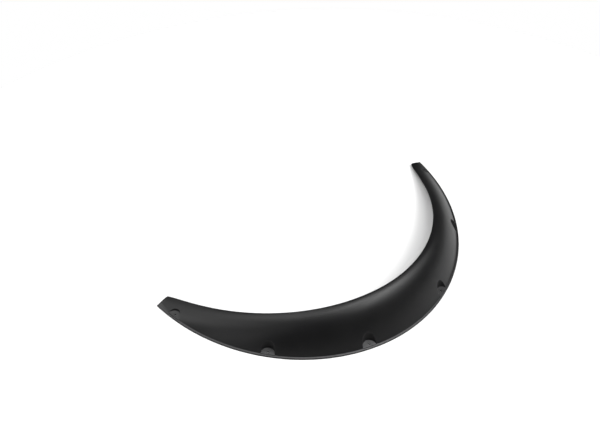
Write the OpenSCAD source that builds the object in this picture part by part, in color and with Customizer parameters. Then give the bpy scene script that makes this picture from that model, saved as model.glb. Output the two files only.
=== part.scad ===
// Wheel arch trim: one curved moulded shell that is screwed to the body panel
// round a wheel opening. It is drawn lying on its mounting side.
// +X runs along the vehicle, +Y is up the vehicle at the top of the arch,
// +Z points away from the body panel. The mounting face is the plane z = 0.
// All lengths are in millimetres and all angles in degrees.

/* [Arch outline] */
// Radius of the outer edge at the top of the arch
apex_radius = 332; // [320:1:350]
// Half of the outer edge's length, measured along the edge
half_len = 556; // [540:1:570]
// Share of its curvature that the outer edge has lost at each end
straighten = 0.33; // [0.25:0.01:0.40]

/* [Skin] */
// Width of the trim at the top of the arch, across the mounting plane
mid_width = 72; // [66:1:80]
// Width of the trim at each end
end_width = 27; // [25:1:32]
// How late the width falls off towards the ends
width_power = 2.35; // [2:0.05:3]
// How full the width stays close to the ends
width_fullness = 0.71; // [0.65:0.01:1]
// Height of the inner lip at the top of the arch, off the body panel
mid_height = 76; // [60:1:80]
// Height of the inner lip at each end
end_height = 7; // [6:0.5:10]
// How late the height falls off towards the ends
height_power = 1.92; // [1.7:0.02:2.4]
// How full the height stays close to the ends
height_fullness = 1.19; // [1:0.01:1.3]
// Steepness of the skin next to the rim, against its mean, at the top of the arch
roll_mid = 1.5; // [1.4:0.1:2.2]
// Steepness of the skin next to the rim, against its mean, at each end
roll_end = 1.7; // [1.5:0.1:2.2]
// How much steeper the skin is next to the rim halfway down each limb
roll_limb = 0.8; // [0:0.1:0.9]
// Thickness of the moulded wall
wall = 3.5; // [3:0.1:4]
// Rounding of the lip's and the rim's edges
edge_round = 1.2; // [0.8:0.1:1.3]

/* [Rim] */
// Width of the flat rim that lies against the body panel
rim_width = 4; // [3:0.5:5]
// Thickness of the rim
rim_height = 3; // [2.8:0.1:3.2]

/* [Screw pockets] */
// Half of the width of a pocket
pocket_radius = 13.6; // [12:0.2:14]
// Distance of a pocket's centre from the outer edge
pocket_inset = 4.6; // [4.2:0.2:7]
// Thickness of a pocket's floor
pocket_floor = 4; // [3.3:0.1:4.2]
// Thickness of the wall round a pocket
pocket_wall = 2.6; // [2:0.1:3]
// Distance of the inner pair of pockets from the middle of the row, along the edge
pocket_1 = 106; // [100:1:112]
// Distance of the middle pair of pockets
pocket_2 = 304; // [298:1:310]
// Distance of the outer pair of pockets
pocket_3 = 516; // [510:1:520]
// Offset of the row of pockets from the top of the arch
pocket_shift = -7; // [-8:1:0]
// Diameter of the screw hole
hole_d = 3.2; // [3:0.1:4.4]
// Distance of the screw hole from the outer edge
hole_inset = 9; // [8.5:0.5:10]
// Diameter of the washer seat round the screw hole
seat_d = 8; // [7:0.5:8.5]
// Depth of the washer seat
seat_depth = 0.4; // [0.3:0.1:0.6]

/* [Hidden] */

// Number of steps along each half of the outer edge
STEPS = 44;
// Number of steps across the skin
CROSS = 12;
// Steps of the curve that the outer edge is summed along
FINE = 556;
fine_ds = half_len / FINE;

// Direction of the outer edge at a distance s from the top of the arch
function turn(s) =
    (180 / PI) * (s - sign(s) * straighten * s * s / (2 * half_len)) / apex_radius;

// Right half of the outer edge, summed along its length from the top
EDGE = [for (i = 0, x = 0, y = 0;
             i <= FINE;
             x = x + fine_ds * cos(turn((i + 0.5) * fine_ds)),
             y = y - fine_ds * sin(turn((i + 0.5) * fine_ds)),
             i = i + 1) [x, y]];

// The whole part is moved so that its box is centred on the origin
end_turn = turn(half_len);
y_low = EDGE[FINE][1] - max(0, end_width * cos(end_turn));
y_mid = y_low / 2;

// Point of the outer edge at a distance s, found between two summed points
function edge_at(s) =
    let (q = min(abs(s) / fine_ds, FINE - 0.000001),
         i = floor(q),
         p = EDGE[i] + (q - i) * (EDGE[i + 1] - EDGE[i]))
    [sign(s) * p[0], p[1] - y_mid];

// Point at a distance v inside the outer edge, at a height z
function place(s, v, z) =
    let (a = turn(s), p = edge_at(s))
    [p[0] - v * sin(a), p[1] - v * cos(a), z];

// Fall-off from a middle value to an end value
function fall(t, mid, end, power, fullness) =
    end + (mid - end) * pow(max(0, 1 - pow(abs(t), power)), fullness);
function width_at(s) = fall(s / half_len, mid_width, end_width, width_power, width_fullness);
function height_at(s) = fall(s / half_len, mid_height, end_height, height_power, height_fullness);
function roll_at(s) = let (x = pow(s / half_len, 2))
    roll_mid * (1 - x) + roll_end * x + 4 * roll_limb * x * (1 - x);

// Stations along the outer edge, closer together near the ends
function station(i) = let (q = i / STEPS)
    half_len * sign(q) * (1 - pow(1 - abs(q), 1.35));

// Height of the skin at u, from 0 at the rim to 1 at the lip
function skin_z(s, u) =
    let (r = roll_at(s))
    rim_height + (height_at(s) - rim_height) * (r * u - (r - 1) * pow(u, r / (r - 1)));
// Slope of the skin at u
function skin_slope(s, u) =
    let (r = roll_at(s))
    atan((height_at(s) - rim_height) * r * max(0, 1 - pow(u, 1 / (r - 1)))
         / (width_at(s) - rim_width));
// Distance of the skin from the outer edge at u
function skin_v(s, u) = rim_width + (width_at(s) - rim_width) * u;

// Steps across the skin, closer together next to the rim
function across(j) = pow(j / CROSS, 1.15);

// Section of the shell, as [distance from the outer edge, height]:
// up the outer edge, over the rim and the skin, round the lip and back inside
function upper_line(s) = [
    [0, 0],
    [0, rim_height - edge_round],
    [0.29 * edge_round, rim_height - 0.29 * edge_round],
    [edge_round, rim_height],
    for (j = [0:CROSS - 1]) [skin_v(s, across(j)), skin_z(s, across(j))],
    [width_at(s) - edge_round, skin_z(s, 1 - edge_round / (width_at(s) - rim_width))],
    [width_at(s) - 0.29 * edge_round, height_at(s) - 0.29 * edge_round],
    [width_at(s), height_at(s) - edge_round],
];
function inner_point(s, u) =
    let (a = skin_slope(s, u))
    [skin_v(s, u) + wall * sin(a), max(0, skin_z(s, u) - wall * cos(a))];
function foot(s) =
    let (p = inner_point(s, 0), a = max(20, skin_slope(s, 0)))
    [p[0] - max(0.4, p[1] / tan(a)), 0];
function lower_line(s) = [
    [0.4 * foot(s)[0], 0],
    [0.7 * foot(s)[0], 0],
    [0.88 * foot(s)[0], 0],
    foot(s),
    for (j = [0:CROSS - 1])
        let (p = inner_point(s, across(j)))
        [min(p[0], width_at(s) - 1.2 * edge_round - 0.02 * (CROSS - j)), p[1]],
    [width_at(s) - edge_round, height_at(s) - wall],
    [width_at(s) - 0.29 * edge_round, height_at(s) - wall + 0.29 * edge_round],
    [width_at(s), height_at(s) - wall + edge_round],
];

// A solid lofted through the stations, between an upper and a lower line
module loft(stations, uppers, lowers) {
    ns = len(stations);
    k = len(uppers[0]);
    m = 2 * k;
    points = [for (i = [0:ns - 1], side = [0, 1], j = [0:k - 1])
        let (q = side == 0 ? uppers[i][j] : lowers[i][k - 1 - j])
        place(stations[i], q[0], q[1])];
    sides = [for (i = [0:ns - 2], j = [0:m - 1])
        let (a = i * m + j, b = i * m + (j + 1) % m, c = a + m, d = b + m)
        each [[a, d, b], [a, c, d]]];
    cap_0 = [for (j = [0:k - 2])
        let (a = j, b = j + 1, c = m - 1 - (j + 1), d = m - 1 - j)
        each [[a, c, d], [a, b, c]]];
    cap_1 = [for (f = cap_0) [for (q = [2:-1:0]) f[q] + (ns - 1) * m]];
    polyhedron(points = points, faces = concat(sides, cap_0, cap_1), convexity = 8);
}

// The thin shell itself
module shell() {
    st = [for (i = [-STEPS:STEPS]) station(i)];
    loft(st, [for (s = st) upper_line(s)], [for (s = st) lower_line(s)]);
}

// Solid block under the middle of the skin's wall, next to one pocket
module block_under(s0) {
    r = pocket_radius + pocket_wall + 6;
    st = [for (i = [0:8]) max(-half_len + 1, min(half_len - 1, s0 + r * (i / 4 - 1)))];
    top = [for (s = st) [
        [0.8, 1.6],
        for (u = [0, 0.06, 0.12, 0.2, 0.3, 0.4, 0.52, 0.66, 0.8])
            let (a = skin_slope(s, u))
            [skin_v(s, u) + 0.5 * wall * sin(a), skin_z(s, u) - 0.5 * wall * cos(a)]]];
    low = [for (t = top) [for (p = t) [p[0], 0]]];
    loft(st, top, low);
}

// Pocket outline: round towards the lip and open towards the outer edge
module pocket_shape(s0, r, z0, z1) {
    a = turn(s0);
    p = place(s0, pocket_inset, z0);
    translate(p) rotate([0, 0, -a]) {
        cylinder(r = r, h = z1 - z0, $fn = 96);
        translate([-r, 0, 0]) cube([2 * r, pocket_inset + 8, z1 - z0]);
    }
}

// Wall and floor of one pocket, up to the skin
module pocket_body(s0) {
    intersection() {
        block_under(s0);
        pocket_shape(s0, pocket_radius + pocket_wall, -1, 100);
    }
}

module screw_hole(s0) {
    p = place(s0, hole_inset, 0);
    translate([p[0], p[1], -1]) cylinder(d = hole_d, h = 20, $fn = 64);
    translate([p[0], p[1], pocket_floor - seat_depth]) cylinder(d = seat_d, h = 20, $fn = 64);
}

POCKETS = [for (d = [-pocket_3, -pocket_2, -pocket_1, pocket_1, pocket_2, pocket_3])
    d + pocket_shift];

module arch_trim() {
    color([0.10, 0.10, 0.105])
    difference() {
        union() {
            shell();
            for (s0 = POCKETS) pocket_body(s0);
        }
        for (s0 = POCKETS) {
            pocket_shape(s0, pocket_radius, pocket_floor, 100);
            screw_hole(s0);
        }
    }
}

arch_trim();
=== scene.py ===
import math

import bpy
import numpy as np
from mathutils import Matrix, Vector

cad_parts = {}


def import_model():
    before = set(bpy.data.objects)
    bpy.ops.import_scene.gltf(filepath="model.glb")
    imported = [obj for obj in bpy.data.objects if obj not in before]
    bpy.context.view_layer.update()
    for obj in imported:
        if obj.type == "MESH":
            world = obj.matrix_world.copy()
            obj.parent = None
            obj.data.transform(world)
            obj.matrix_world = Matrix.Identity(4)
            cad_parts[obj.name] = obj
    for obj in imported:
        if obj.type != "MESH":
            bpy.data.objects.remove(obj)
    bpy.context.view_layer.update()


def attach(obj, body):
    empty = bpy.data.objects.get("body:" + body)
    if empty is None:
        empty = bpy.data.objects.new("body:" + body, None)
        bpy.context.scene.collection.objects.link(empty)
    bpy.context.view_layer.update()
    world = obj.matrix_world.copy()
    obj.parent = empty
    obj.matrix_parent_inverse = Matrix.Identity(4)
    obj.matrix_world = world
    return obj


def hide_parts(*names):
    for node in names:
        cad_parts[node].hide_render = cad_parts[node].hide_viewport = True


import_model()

# Law of the trim, in millimetres: the same numbers as the CAD model's
AR, HL, ST = 332.0, 556.0, 0.33
MID_W, END_W, W_POW, W_FULL = 72.0, 27.0, 2.35, 0.71
MID_H, END_H, H_POW, H_FULL = 76.0, 7.0, 1.92, 1.19
ROLL_MID, ROLL_END, ROLL_LIMB = 1.5, 1.7, 0.8
WALL, EDGE, RIM_W, RIM_H = 3.5, 1.2, 4.0, 3.0
POCKET_R, POCKET_IN, FLOOR_Z, BOSS_R = 13.6, 4.6, 4.0, 16.2
HOLE_IN, HOLE_R, SEAT_R, SEAT_Z = 9.0, 1.6, 4.0, 3.6
POCKETS = [d - 7.0 for d in (-516, -304, -106, 106, 304, 516)]
ZONE = 22.0      # half length of the stretch that is meshed round a pocket
FIL = 0.8        # fillet between the rim and the skin
FINE = 2224

_ds = HL / FINE


def turn(s):
    return (s - np.sign(s) * ST * s * s / (2 * HL)) / AR


_m = turn((np.arange(FINE) + 0.5) * _ds)
_ex = np.concatenate([[0], np.cumsum(_ds * np.cos(_m))])
_ey = np.concatenate([[0], -np.cumsum(_ds * np.sin(_m))])
_es = np.arange(FINE + 1) * _ds
Y_MID = (_ey[-1] - max(0.0, END_W * np.cos(turn(np.array(HL))))) / 2


def edge(s):
    a = np.abs(s)
    return np.sign(s) * np.interp(a, _es, _ex), np.interp(a, _es, _ey) - Y_MID


def fall(t, mid, end, power, full):
    return end + (mid - end) * np.maximum(0, 1 - np.abs(t) ** power) ** full


def width(s):
    return fall(s / HL, MID_W, END_W, W_POW, W_FULL)


def height(s):
    return fall(s / HL, MID_H, END_H, H_POW, H_FULL)


def roll(s):
    x = (s / HL) ** 2
    return ROLL_MID * (1 - x) + ROLL_END * x + 4 * ROLL_LIMB * x * (1 - x)


def place(s, v, z):
    s, v, z = np.broadcast_arrays(np.asarray(s, float), np.asarray(v, float), np.asarray(z, float))
    a = turn(s)
    x, y = edge(s)
    return np.stack([x - v * np.sin(a), y - v * np.cos(a), z], -1)


def to_station(x, y, s):
    """Station and distance from the outer edge of a point of the plan."""
    s = np.array(s, float) + 0 * x
    for _ in range(10):
        a = turn(s)
        ex, ey = edge(s)
        dx, dy = x - ex, y - ey
        v = -dx * np.sin(a) - dy * np.cos(a)
        k = (1 - ST * np.abs(s) / HL) / AR
        s = s + (dx * np.cos(a) - dy * np.sin(a)) / (1 - k * v)
    a = turn(s)
    ex, ey = edge(s)
    return s, -(x - ex) * np.sin(a) - (y - ey) * np.cos(a)


def raw_skin(s, v):
    w, h = width(s), height(s)
    u = np.clip((v - RIM_W) / (w - RIM_W), 0, 1)
    r = roll(s)
    return RIM_H + (h - RIM_H) * (r * u - (r - 1) * u ** (r / (r - 1)))


def slope(s, u):
    w, h, r = width(s), height(s), roll(s)
    return np.arctan((h - RIM_H) * r * np.maximum(0, 1 - u ** (1 / (r - 1))) / (w - RIM_W))


def fillet_end(s):
    return FIL * np.cos(slope(s, 0.0))


def top_h(s, v):
    """Height of the outside over the plan: rim, small fillet, skin."""
    g = fillet_end(s)
    q = np.maximum(v - RIM_W + FIL, 0)
    t = np.clip(q / (FIL + np.sqrt(np.maximum(FIL * FIL + (g - FIL) * q, 1e-9))), 0, 1)
    low = RIM_H + t * t * (raw_skin(s, RIM_W + g) - RIM_H)
    return np.where(v > RIM_W + g, raw_skin(s, v), low)


def foot_v(s):
    a = slope(s, 0.0)
    z = np.maximum(0, RIM_H - WALL * np.cos(a))
    return RIM_W + WALL * np.sin(a) - np.maximum(0.4, z / np.tan(np.maximum(np.radians(20), a)))


def under_h(s, v):
    """Height of the inside over the plan."""
    s, v = np.broadcast_arrays(np.asarray(s, float), np.asarray(v, float))
    lo, hi = np.zeros(v.shape), np.ones(v.shape)
    w = width(s)
    for _ in range(34):
        u = (lo + hi) / 2
        over = RIM_W + (w - RIM_W) * u + WALL * np.sin(slope(s, u)) > v
        hi = np.where(over, u, hi)
        lo = np.where(over, lo, u)
    u = (lo + hi) / 2
    z = np.maximum(0, raw_skin(s, RIM_W + (w - RIM_W) * u) - WALL * np.cos(slope(s, u)))
    v0 = RIM_W + WALL * np.sin(slope(s, 0.0))
    z0 = np.maximum(0, RIM_H - WALL * np.cos(slope(s, 0.0)))
    f = foot_v(s)
    return np.where(v < v0, z0 * np.clip((v - f) / (v0 - f), 0, 1), z)


# ---- sections -------------------------------------------------------------
NU, NB = 40, 28


def front_line(s, e):
    """Outer bottom edge, outer face and rim: (v, z) for each station."""
    o = 0 * s
    out = [(0.3 + e, o), (0.09 + e, o + 0.09), (o + e, o + 0.3), (o + e, o + 1.0)]
    for a in np.radians([0, 22.5, 45, 67.5, 90]):
        out.append((EDGE - (EDGE - e) * np.cos(a), RIM_H - EDGE + (EDGE - e) * np.sin(a)))
    out.append((o + 2.2, RIM_H - e))
    out.append((o + RIM_W - FIL, RIM_H - e))
    return out


def lip_slope(s):
    """Slope of the skin where the rounding of the lip starts."""
    w = width(s)
    a = 0.0 * w
    for _ in range(6):
        a = slope(s, 1 - EDGE * (1 + np.sin(a)) / (w - RIM_W))
    return a


def skin_lines(s):
    """Distances of the lines from the rim to the lip."""
    g = fillet_end(s)
    c = RIM_W + g
    end = width(s) - EDGE * (1 + np.sin(lip_slope(s)))
    out = [RIM_W - FIL + (FIL + g) * t for t in (0, 0.25, 0.5, 0.75, 1)]
    out += [c + (end - c) * (j / NU) ** 1.25 for j in range(1, NU + 1)]
    return out


def back_line(s, e, first=0):
    """Skin from line first to the lip, and round the lip to its underside."""
    out = []
    for v in skin_lines(s)[first:]:
        out.append((v, top_h(s, v) - e))
    w = width(s)
    b = lip_slope(s)
    zs, zu = top_h(s, w - EDGE * (1 + np.sin(b))) - EDGE * np.cos(b), under_h(s, w - EDGE)
    for f in (0.2, 0.4, 0.6, 0.8, 1):
        a = (np.pi / 2 + b) * f - b
        out.append((w - EDGE + (EDGE - e) * np.sin(a), zs + (EDGE - e) * np.cos(a)))
    out.append((w - e, (zs + zu + EDGE) / 2))
    for a in np.radians([0, 22.5, 45, 67.5, 90]):
        out.append((w - EDGE + (EDGE - e) * np.cos(a), zu + EDGE - EDGE * np.sin(a)))
    return out


def under_lines(s):
    f = foot_v(s)
    end = width(s) - EDGE
    return [f + (end - f) * (j / NB) ** 1.15 for j in range(NB + 1)]


class Builder:
    def __init__(self):
        self.v, self.f, self.n = [], [], 0

    def add(self, p):
        p = np.asarray(p, float).reshape(-1, 3)
        self.v.append(p)
        self.n += len(p)
        return self.n - len(p) + np.arange(len(p))

    def grid(self, p, flip=False):
        """Quads over an array of points [rows][columns]."""
        r, c = p.shape[:2]
        i = self.add(p).reshape(r, c)
        q = np.stack([i[:-1, :-1], i[:-1, 1:], i[1:, 1:], i[1:, :-1]], -1).reshape(-1, 4)
        self.f.extend((q[:, ::-1] if flip else q).tolist())

    def zip(self, a, ta, b, tb, flip=False):
        """Triangles between two lines of points, each with a rising parameter."""
        ia, ib = self.add(a), self.add(b)
        i = j = 0
        while i < len(a) - 1 or j < len(b) - 1:
            if j == len(b) - 1 or (i < len(a) - 1 and ta[i + 1] <= tb[j + 1]):
                t = (ia[i], ia[i + 1], ib[j])
                i += 1
            else:
                t = (ia[i], ib[j + 1], ib[j])
                j += 1
            self.f.append([int(k) for k in (t[::-1] if flip else t)])

    def ring(self, loop, centre, radius, z, flip=False):
        """Triangles between a closed loop of points and a circle inside it."""
        loop = np.asarray(loop)
        a = np.unwrap(np.arctan2(loop[:, 1] - centre[1], loop[:, 0] - centre[0]))
        if a[-1] < a[0]:
            loop, a = loop[::-1], a[::-1]
        loop = np.vstack([loop, loop[:1]])
        a = np.append(a, a[0] + 2 * np.pi)
        k = int(np.ceil(a[0] / (2 * np.pi) * CIRC))
        t = 2 * np.pi * (k + np.arange(CIRC + 1)) / CIRC
        c = circle(centre, radius, z, k + np.arange(CIRC + 1))
        self.zip(loop, a, c, t, flip)

    def result(self):
        v = np.vstack(self.v)
        key = np.round(v * 2000).astype(np.int64)
        _, first, inv = np.unique(key, axis=0, return_index=True, return_inverse=True)
        inv = inv.reshape(-1)
        faces = []
        for f in self.f:
            g = [int(inv[k]) for k in f]
            h = [k for i, k in enumerate(g) if k != g[i - 1]]
            if len(h) > 2:
                faces.append(h)
        return v[first], faces


CIRC = 56


def circle(centre, radius, z, k):
    a = 2 * np.pi * (np.asarray(k) % CIRC) / CIRC
    return np.stack([centre[0] + radius * np.cos(a), centre[1] + radius * np.sin(a), z + 0 * a], -1)


def curve(p0, p1, p2, t):
    return (1 - t) ** 2 * p0 + 2 * t * (1 - t) * p1 + t * t * p2


def patch(bld, s0, top):
    """Mesh between the lines of the skin and one pocket, outside or inside.
    Returns the stations of its front line and of its back line, and its back line's number."""
    lines = skin_lines if top else under_lines
    high = top_h if top else under_h
    radius = POCKET_R if top else BOSS_R
    draft = np.tan(np.radians(3.5 if top else 1.5))
    round_out = 0.9 if top else 0.8
    round_in = 1.0 if top else 0.3
    front = (lambda s: RIM_W - FIL + 0 * s) if top else foot_v
    reach = max(POCKET_IN, float(front(np.array(s0)))) + radius + 3.4
    ends = np.array([s0 - ZONE, s0 + ZONE])
    back = 0
    span = np.linspace(s0 - ZONE, s0 + ZONE, 23)
    while lines(span)[back].min() < reach:
        back += 1
    side = np.array([lines(ends)[j] for j in range(back + 1)])
    cs = np.concatenate([np.full(back, ends[0]), span, np.full(back, ends[1])])
    cv = np.concatenate([side[:back, 0], lines(span)[back], side[:back, 1][::-1]])
    # local axes at the pocket: p along the edge, q inwards, less the front line's own bow
    a = turn(np.array(s0))
    o = place(s0, 0, 0)[:2]
    tx, nx = np.array([np.cos(a), -np.sin(a)]), np.array([-np.sin(a), -np.cos(a)])
    near = np.linspace(s0 - 30, s0 + 30, 241)
    fl = place(near, front(near), 0)[:, :2] - o
    fp, fq = fl @ tx, fl @ nx
    q0 = np.interp(0, fp, fq)
    bow = lambda p: np.interp(p, fp, fq) - q0

    def world(p, q):
        r = o + np.multiply.outer(p, tx) + np.multiply.outer(q + bow(p), nx)
        return r[..., 0], r[..., 1]

    def sv(p, q):
        x, y = world(p, q)
        return to_station(x, y, s0 + p)

    r = place(cs, cv, 0)[:, :2] - o
    rp = r @ tx
    rq = r @ nx - bow(rp)
    qc = max(POCKET_IN, q0)
    dy = np.maximum(rq - qc, 0)
    ln = np.hypot(rp, dy)
    n = np.stack([rp / ln, dy / ln], -1)
    u = np.stack([radius * n[:, 0], np.minimum(rq, qc) + radius * n[:, 1]], -1)
    dist = np.hypot(*(np.stack([rp, rq], -1) - u).T)

    def at(d):
        return u[:, 0] + d * n[:, 0], u[:, 1] + d * n[:, 1]

    def floor(s, v):
        if not top:
            return 0 * v
        t = np.clip((v - (RIM_W - FIL)) / 0.75, 0, 1)
        return RIM_H + (FLOOR_Z - RIM_H) * t * t * (3 - 2 * t)

    tw = np.full(len(cs), 1.0)
    for _ in range(4):
        s, v = sv(*at(tw))
        hw = np.maximum(0, high(s, v) - floor(s, v))
        tw = 0.3 + hw * draft
    s, v = sv(*at(tw))
    zb = high(s, v)
    zf = floor(*sv(*at(0 * tw)))
    ro, ri = np.minimum(round_out, 0.45 * hw), np.minimum(round_in, 0.45 * hw)
    da = tw + round_out
    cols = []
    for f in (1, 0.82, 0.64, 0.48, 0.34, 0.22, 0.12, 0.05):
        d = da + (dist - da) * f
        cols.append((d, high(*sv(*at(d)))))
    za = high(*sv(*at(da)))
    hs = np.maximum(hw, 1e-6)
    fc, fe = np.where(hw > 0.01, 1 - ro / hs, 0.55), np.where(hw > 0.01, ri / hs, 0.45)
    dc, zc = tw * fc, zb - ro
    de, ze = tw * fe, zf + ri
    for t in (0, 0.25, 0.5, 0.75, 1):
        cols.append((curve(da, tw, dc, t), curve(za, zb, zc, t)))
    for t in (0.25, 0.5, 0.75):
        cols.append((dc + (de - dc) * t, zc + (ze - zc) * t))
    for t in (0, 0.25, 0.5, 0.75, 1):
        cols.append((curve(de, 0, -round_in, t), curve(ze, zf, zf, t)))
    pts = np.empty((len(cs), len(cols), 3))
    for k, (d, z) in enumerate(cols):
        p, q = at(d + 0 * tw)
        pts[:, k, 0], pts[:, k, 1] = world(p, q)
        pts[:, k, 2] = z
    z_front = RIM_H if top else 0.0
    pts[:, 0] = place(cs, cv, high(cs, cv))
    # the front rows lie on the front line itself
    sides = []
    for row in (0, -1):
        ss, _ = to_station(pts[row, :, 0], pts[row, :, 1], s0)
        ss[0] = ends[0 if row == 0 else 1]
        pts[row] = place(ss, front(ss), z_front)
        sides.append(ss)
    bld.grid(pts, flip=top)
    # floor: strips along the front line, then a ring to the screw hole
    m = 3 if top else 0
    nf = 18
    w = np.linspace(0, 1, nf + 2)
    pl, ql = at(np.full(len(cs), -float(round_in)))
    strip = np.empty((m + 1, nf + 2, 3))
    for i in range(m + 1):
        pp = pl[i] + (pl[-1 - i] - pl[i]) * w
        qq = ql[i] + (ql[-1 - i] - ql[i]) * w
        s, v = sv(pp, qq)
        strip[i] = place(s, v, floor(s, v))
        strip[i][0], strip[i][-1] = pts[i, -1], pts[-1 - i, -1]
    s, _ = to_station(strip[0, 1:-1, 0], strip[0, 1:-1, 1], s0)
    strip[0, 1:-1] = place(s, front(s), z_front)
    mid = s
    if m:
        strip[1:, :, 2] = np.where(np.arange(1, m + 1)[:, None] == m, FLOOR_Z, strip[1:, :, 2])
        bld.grid(strip, flip=True)
    z_flat = FLOOR_Z if top else 0.0
    loop = np.vstack([pts[m:len(cs) - m, -1], strip[m, 1:-1][::-1]])
    loop[:, 2] = np.where(np.arange(len(loop)) >= 0, loop[:, 2], z_flat)
    c = place(s0, HOLE_IN, 0)[:2]
    if top:
        bld.ring(loop, c, SEAT_R + 0.15, z_flat, flip=False)
    else:
        bld.ring(loop, c, HOLE_R + 0.15, z_flat, flip=True)
    stations = np.concatenate([sides[0], mid, sides[1][::-1]])
    return stations, span, back


def hole(bld, s0):
    c = place(s0, HOLE_IN, 0)[:2]
    prof = [(SEAT_R + 0.15, FLOOR_Z), (SEAT_R + 0.04, FLOOR_Z - 0.04), (SEAT_R, FLOOR_Z - 0.15),
            (SEAT_R, SEAT_Z + 0.12), (SEAT_R - 0.04, SEAT_Z + 0.03), (SEAT_R - 0.14, SEAT_Z),
            (2.9, SEAT_Z), (HOLE_R + 0.2, SEAT_Z), (HOLE_R + 0.05, SEAT_Z - 0.05), (HOLE_R, SEAT_Z - 0.2),
            (HOLE_R, 1.4), (HOLE_R, 0.2), (HOLE_R + 0.05, 0.05), (HOLE_R + 0.15, 0)]
    k = np.arange(CIRC + 1)
    bld.grid(np.stack([circle(c, r, z, k) for r, z in prof]), flip=False)


def build():
    bld = Builder()
    cap = 0.8
    ang = np.radians([0, 22.5, 45, 67.5, 90])
    end_s = HL - cap + cap * np.sin(ang)
    end_e = cap * (1 - np.cos(ang))
    cuts = [-HL + cap] + [c for s0 in POCKETS for c in (s0 - ZONE, s0 + ZONE)] + [HL - cap]
    tops, feet = [], []      # stations of the outer bottom line and of the foot line

    def full(s, e):
        pt = front_line(s, e) + back_line(s, e)[1:]
        bld.grid(np.stack([place(s, v, z) for v, z in pt], 1))
        lo = under_lines(s)
        bld.grid(np.stack([place(s, v, under_h(s, v)) for v in lo[::-1]], 1))

    for i in range(0, len(cuts), 2):
        n = max(2, int(np.ceil((cuts[i + 1] - cuts[i]) / 4.5)))
        s = np.linspace(cuts[i], cuts[i + 1], n + 1)
        if i == 0 or i == len(cuts) - 2:      # closer together towards the ends
            t = np.linspace(0, 1, n + 5) ** 1.0
            s = cuts[i] + (cuts[i + 1] - cuts[i]) * t
        e = 0 * s
        if i == 0:
            s, e = np.concatenate([-end_s[:0:-1], s]), np.concatenate([end_e[:0:-1], e])
        if i == len(cuts) - 2:
            s, e = np.concatenate([s, end_s[1:]]), np.concatenate([e, end_e[1:]])
        full(s, e)
        tops.append((s, e))
        feet.append(s)
        if i // 2 < len(POCKETS):
            s0 = POCKETS[i // 2]
            st, span, back = patch(bld, s0, True)
            z = 0 * st
            bld.grid(np.stack([place(st, v, h) for v, h in front_line(st, z)], 1))
            tops.append((st, z))
            bld.grid(np.stack([place(span, v, h) for v, h in back_line(span, 0 * span, back)], 1))
            su, _, bu = patch(bld, s0, False)
            feet.append(su)
            lo = under_lines(span)[bu:]
            bld.grid(np.stack([place(span, v, under_h(span, v)) for v in lo[::-1]], 1))
            hole(bld, s0)
    # flat underside of the rim
    sa = np.concatenate([t[0] for t in tops])
    ea = np.concatenate([t[1] for t in tops])
    sb = np.concatenate(feet)
    keep = np.concatenate([[True], np.diff(sa) > 1e-7])
    sa, ea = sa[keep], ea[keep]
    sb = sb[np.concatenate([[True], np.diff(sb) > 1e-7])]
    bld.zip(place(sa, 0.3 + ea, 0), sa, place(sb, foot_v(sb), 0), sb)
    # end faces
    for sg in (-1, 1):
        s, e = np.array([sg * HL]), np.array([cap])
        up = np.array([place(s, v, z)[0] for v, z in front_line(s, e) + back_line(s, e)[1:]])
        dn = np.array([place(s, v, under_h(s, v))[0] for v in under_lines(s)])
        du = np.concatenate([[0], np.cumsum(np.linalg.norm(np.diff(up, axis=0), axis=1))])
        cut = len(up) - 5
        dd = np.concatenate([[0], np.cumsum(np.linalg.norm(np.diff(dn, axis=0), axis=1))])
        low = np.vstack([up[:1], dn, up[cut:-1][::-1]])
        up = up[:cut + 1]
        vu = np.linalg.norm(up[:, :2] - up[2, :2], axis=1)
        vl = np.linalg.norm(low[:, :2] - up[2, :2], axis=1)
        bld.zip(up, np.maximum.accumulate(vu), low, np.maximum.accumulate(vl), flip=sg < 0)
    return bld.result()


# ---- the trim as one detailed mesh, in metres ------------------------------
def corner_normals(v, faces):
    """Normals for each face corner: faces round a point that turn less than 50 degrees are averaged by their area."""
    area = np.zeros((len(faces), 3))
    flat, start = [], []
    for i, f in enumerate(faces):
        p = v[f]
        area[i] = np.cross(p[2] - p[0], p[(3 if len(f) > 3 else 1)] - p[1]) if len(f) > 3 else np.cross(p[1] - p[0], p[2] - p[0])
        start.append(len(flat))
        flat.extend(f)
    flat = np.array(flat)
    owner = np.repeat(np.arange(len(faces)), [len(f) for f in faces])
    unit = area / np.maximum(np.linalg.norm(area, axis=1, keepdims=True), 1e-12)
    order = np.argsort(flat, kind="stable")
    pts, first, count = np.unique(flat[order], return_index=True, return_counts=True)
    total = np.zeros((len(flat), 3))
    for shift in range(int(count.max())):
        # the shift-th neighbour of every corner, within the corners of its own point
        ok = np.repeat(count, count) > shift
        base = np.repeat(first, count)
        here = np.arange(len(order)) - base
        other = base + (here + shift) % np.repeat(count, count)
        a, b = owner[order], owner[order[other]]
        near = (unit[a] * unit[b]).sum(1) > math.cos(math.radians(50))
        total[order] += np.where((ok & near)[:, None], area[b], 0)
    return total / np.maximum(np.linalg.norm(total, axis=1, keepdims=True), 1e-12)


points, faces = build()
points = points / 1000.0
mesh = bpy.data.meshes.new("arch_trim_skin")
mesh.from_pydata(points.tolist(), [], faces)
mesh.update()
mesh.polygons.foreach_set("use_smooth", [True] * len(mesh.polygons))
mesh.normals_split_custom_set(corner_normals(points, faces).tolist())
trim = bpy.data.objects.new("arch_trim_skin", mesh)
bpy.context.scene.collection.objects.link(trim)


# ---- material: black moulded plastic ---------------------------------------
def new(nodes, kind, **values):
    n = nodes.new(kind)
    for k, val in values.items():
        if k in n.inputs:
            n.inputs[k].default_value = val
        else:
            setattr(n, k, val)
    return n


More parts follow.
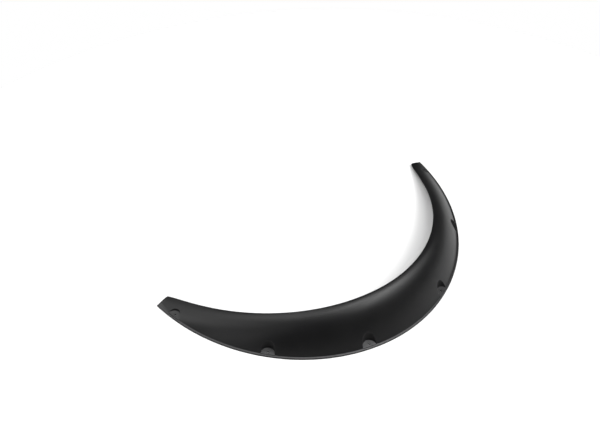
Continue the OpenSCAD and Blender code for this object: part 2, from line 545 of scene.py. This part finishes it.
def ramp(nodes, stops):
    r = nodes.new("ShaderNodeValToRGB")
    r.color_ramp.elements[0].position, r.color_ramp.elements[0].color = stops[0][0], stops[0][1]
    r.color_ramp.elements[1].position, r.color_ramp.elements[1].color = stops[-1][0], stops[-1][1]
    for pos, col in stops[1:-1]:
        r.color_ramp.elements.new(pos).color = col
    return r


def grey(x):
    return (x, x, x, 1)


def plastic():
    m = bpy.data.materials.new("black_plastic")
    m.use_nodes = True
    nt = m.node_tree
    nt.nodes.clear()
    N, L = nt.nodes, nt.links
    out = N.new("ShaderNodeOutputMaterial")
    b = N.new("ShaderNodeBsdfPrincipled")
    L.new(b.outputs[0], out.inputs[0])
    b.inputs["Specular IOR Level"].default_value = 0.2
    b.inputs["IOR"].default_value = 1.5
    co = N.new("ShaderNodeTexCoord")
    # slow changes of tone, as in a large moulding that cooled unevenly
    big = new(N, "ShaderNodeTexNoise", Scale=9.0, Detail=3.0, Roughness=0.5)
    L.new(co.outputs["Object"], big.inputs["Vector"])
    tone = ramp(N, [(0.3, (0.0036, 0.0036, 0.0038, 1)), (0.7, (0.0050, 0.0050, 0.0052, 1))])
    L.new(big.outputs["Fac"], tone.inputs["Fac"])
    # painted light: the low, up-facing flat faces of the rim and the pocket floors are painted a lighter grey than the
    # skin, standing in for light falling on them
    place_z = N.new("ShaderNodeSeparateXYZ")
    L.new(co.outputs["Object"], place_z.inputs[0])
    low = new(N, "ShaderNodeMapRange")
    for k, val in (("From Min", 0.0042), ("From Max", 0.0048), ("To Min", 1.0), ("To Max", 0.0)):
        low.inputs[k].default_value = val
    L.new(place_z.outputs["Z"], low.inputs["Value"])
    face_z = N.new("ShaderNodeSeparateXYZ")
    L.new(co.outputs["Normal"], face_z.inputs[0])
    up_face = new(N, "ShaderNodeMapRange")
    for k, val in (("From Min", 0.90), ("From Max", 0.98), ("To Min", 0.0), ("To Max", 1.0)):
        up_face.inputs[k].default_value = val
    L.new(face_z.outputs["Z"], up_face.inputs["Value"])
    # the painted light is strongest round the top of the arch and weakest halfway down one limb, as the light falls
    along = new(N, "ShaderNodeMapRange")
    for k, val in (("From Min", -0.40), ("From Max", 0.40), ("To Min", 0.0), ("To Max", 1.0)):
        along.inputs[k].default_value = val
    L.new(place_z.outputs["X"], along.inputs["Value"])
    painted_light_along = ramp(N, [(0.03, grey(0.45)), (0.13, grey(0.0)), (0.62, grey(1.0)), (1.0, grey(0.35))])
    L.new(along.outputs["Result"], painted_light_along.inputs["Fac"])
    facing = new(N, "ShaderNodeMath", operation="MULTIPLY")
    L.new(low.outputs["Result"], facing.inputs[0])
    L.new(up_face.outputs["Result"], facing.inputs[1])
    # mask of the painted light: low, up-facing flat faces times the ramp along the arch
    flat = new(N, "ShaderNodeMath", operation="MULTIPLY")
    L.new(facing.outputs[0], flat.inputs[0])
    L.new(painted_light_along.outputs["Color"], flat.inputs[1])
    # fine random mottling within the painted light grey
    painted_light_mottle = new(N, "ShaderNodeTexNoise", Scale=160.0, Detail=3.0, Roughness=0.6)
    L.new(co.outputs["Object"], painted_light_mottle.inputs["Vector"])
    painted_light_grey = ramp(N, [(0.3, (0.052, 0.052, 0.053, 1)), (0.7, (0.066, 0.066, 0.067, 1))])
    L.new(painted_light_mottle.outputs["Fac"], painted_light_grey.inputs["Fac"])
    # mixes the skin's own tone with the painted light grey on the flats
    both = new(N, "ShaderNodeMix", data_type="RGBA")
    L.new(flat.outputs[0], both.inputs[0])
    L.new(tone.outputs["Color"], both.inputs[6])
    L.new(painted_light_grey.outputs["Color"], both.inputs[7])
    L.new(both.outputs[2], b.inputs["Base Color"])
    # roughness: satin, with faint cloudy patches
    mid = new(N, "ShaderNodeTexNoise", Scale=38.0, Detail=4.0, Roughness=0.6)
    L.new(co.outputs["Object"], mid.inputs["Vector"])
    rough = ramp(N, [(0.25, grey(0.32)), (0.75, grey(0.36))])
    L.new(mid.outputs["Fac"], rough.inputs["Fac"])
    # the upright walls, drawn along the mould when it opened, and the inside are duller
    steep = new(N, "ShaderNodeMapRange")
    for k, val in (("From Min", 0.15), ("From Max", 0.40), ("To Min", 1.0), ("To Max", 0.0)):
        steep.inputs[k].default_value = val
    L.new(face_z.outputs["Z"], steep.inputs["Value"])
    dull = new(N, "ShaderNodeMix", data_type="RGBA")
    L.new(steep.outputs["Result"], dull.inputs[0])
    L.new(rough.outputs["Color"], dull.inputs[6])
    dull.inputs[7].default_value = grey(0.8)
    L.new(dull.outputs[2], b.inputs["Roughness"])
    # fine moulded grain
    fine = new(N, "ShaderNodeTexNoise", Scale=1500.0, Detail=2.0, Roughness=0.5)
    L.new(co.outputs["Object"], fine.inputs["Vector"])
    wave = new(N, "ShaderNodeTexNoise", Scale=14.0, Detail=2.0, Roughness=0.4)
    L.new(co.outputs["Object"], wave.inputs["Vector"])
    b1 = new(N, "ShaderNodeBump", Strength=0.12, Distance=0.00008)
    b2 = new(N, "ShaderNodeBump", Strength=0.10, Distance=0.0006)
    L.new(fine.outputs["Fac"], b1.inputs["Height"])
    L.new(wave.outputs["Fac"], b2.inputs["Height"])
    L.new(b2.outputs["Normal"], b1.inputs["Normal"])
    L.new(b1.outputs["Normal"], b.inputs["Normal"])
    return m


def floor_material():
    m = bpy.data.materials.new("pale_floor")
    m.use_nodes = True
    nt = m.node_tree
    b = nt.nodes["Principled BSDF"]
    # a little paler further out, where less light falls, so that it looks the same all over
    co = nt.nodes.new("ShaderNodeTexCoord")
    far = nt.nodes.new("ShaderNodeVectorMath")
    far.operation = "LENGTH"
    nt.links.new(co.outputs["Object"], far.inputs[0])
    out = nt.nodes.new("ShaderNodeMapRange")
    for k, val in (("From Min", 0.45), ("From Max", 1.10), ("To Min", 0.0), ("To Max", 1.0)):
        out.inputs[k].default_value = val
    nt.links.new(far.outputs["Value"], out.inputs["Value"])
    tone = ramp(nt.nodes, [(0.0, grey(0.60)), (1.0, grey(0.80))])
    nt.links.new(out.outputs["Result"], tone.inputs["Fac"])
    nt.links.new(tone.outputs["Color"], b.inputs["Base Color"])
    b.inputs["Roughness"].default_value = 0.9
    b.inputs["Specular IOR Level"].default_value = 0.1
    return m


mesh.materials.append(plastic())
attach(trim, "root")
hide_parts("arch_trim")

# ---- stage -----------------------------------------------------------------
fm = bpy.data.meshes.new("floor")
rim = [(1.25 * math.cos(math.radians(a)), 1.25 * math.sin(math.radians(a)), -0.0002) for a in range(0, 360, 2)]
fm.from_pydata(rim, [], [tuple(range(len(rim)))])
floor = bpy.data.objects.new("floor", fm)
fm.materials.append(floor_material())
bpy.context.scene.collection.objects.link(floor)

# ---- camera ----------------------------------------------------------------
EL = math.radians(45.2)
place_cam = Vector((0.5378, 0.5239, 0.9173))
ahead = Vector((-0.6018 * math.cos(EL), -0.7986 * math.cos(EL), -math.sin(EL))).normalized()
right = ahead.cross(Vector((0, 0, 1))).normalized()
up = right.cross(ahead)
cd = bpy.data.cameras.new("camera")
cam = bpy.data.objects.new("camera", cd)
bpy.context.scene.collection.objects.link(cam)
cam.matrix_world = Matrix(((right.x, up.x, -ahead.x, place_cam.x), (right.y, up.y, -ahead.y, place_cam.y), (right.z, up.z, -ahead.z, place_cam.z), (0, 0, 0, 1)))
cd.sensor_fit = "HORIZONTAL"
cd.sensor_width = 36.0
cd.lens = 33.0
cd.clip_start = 0.01
cd.clip_end = 100.0
bpy.context.scene.camera = cam
bpy.context.scene.view_settings.view_transform = "Standard"


# ---- light -----------------------------------------------------------------
def softbox(name, where, aim, size, power, colour=(1, 1, 1)):
    ld = bpy.data.lights.new(name, "AREA")
    ld.shape = "RECTANGLE"
    ld.size, ld.size_y = size
    ld.energy = power
    ld.color = colour
    lo = bpy.data.objects.new(name, ld)
    lo.location = where
    lo.rotation_euler = (Vector(aim) - Vector(where)).to_track_quat("-Z", "Y").to_euler()
    bpy.context.scene.collection.objects.link(lo)
    return lo


# directions in the camera's terms: screen right, screen away (over the floor), up
sx = Vector((right.x, right.y, 0)).normalized()
sy = Vector((ahead.x, ahead.y, 0)).normalized()
mid_pt = Vector((0.0, 0.05, 0.03))


def spot(r, a, u):
    p = mid_pt + sx * r + sy * a
    return (p.x, p.y, u)


def studio(turn_right, elevation, bright, size=1.4, far=3.0):
    """A square softbox of a given brightness. turn_right is its direction in degrees, from straight behind the trim towards the right."""
    a, e = math.radians(turn_right), math.radians(elevation)
    x, y, z = spot(far * math.cos(e) * math.sin(a), far * math.cos(e) * math.cos(a), far * math.sin(e))
    return softbox("softbox", (x, y, max(z, 0.7)), mid_pt, (size, size), 4 * size * size * bright)


# direction, elevation, brightness and size: the large ones on the right give the soft
# highlight along the lip, the low ones on the left give the sheen of the right limb
for lamp in ((120, 79, 7.2, 1.0), (90, 54, 6.7, 1.0), (120, 54, 5.1, 1.0), (-90, 18, 4.3, 1.4), (135, 48, 3.4, 0.7),
             (-60, 66, 3.15, 1.4), (-120, 79, 3.0, 1.0), (120, 66, 2.6, 1.4), (70, 42, 2.3, 1.4), (105, 42, 2.3, 1.4),
             (90, 40, 2.3, 0.7), (-105, 42, 1.95, 1.4), (-70, 42, 1.75, 1.4), (120, 40, 1.7, 0.7), (-45, 18, 1.7, 1.4),
             (105, 48, 1.6, 0.7), (105, 62, 1.6, 0.7), (-135, 18, 1.25, 1.4), (165, 62, 1.3, 0.7), (-140, 42, 0.6, 1.4),
             (-120, 66, 0.1, 1.4)):
    studio(*lamp)

world = bpy.data.worlds.new("world")
bpy.context.scene.world = world
world.use_nodes = True
wt = world.node_tree
bg = wt.nodes["Background"]
bg.inputs[0].default_value = (1, 1, 1, 1)
bg.inputs[1].default_value = 0.01
# the plain white backdrop that is seen past the floor; it lights nothing
back = wt.nodes.new("ShaderNodeBackground")
back.inputs[0].default_value = (1, 1, 1, 1)
back.inputs[1].default_value = 1.0
seen = wt.nodes.new("ShaderNodeLightPath")
either = wt.nodes.new("ShaderNodeMixShader")
wt.links.new(seen.outputs["Is Camera Ray"], either.inputs[0])
wt.links.new(bg.outputs[0], either.inputs[1])
wt.links.new(back.outputs[0], either.inputs[2])
wt.links.new(either.outputs[0], wt.nodes["World Output"].inputs["Surface"])
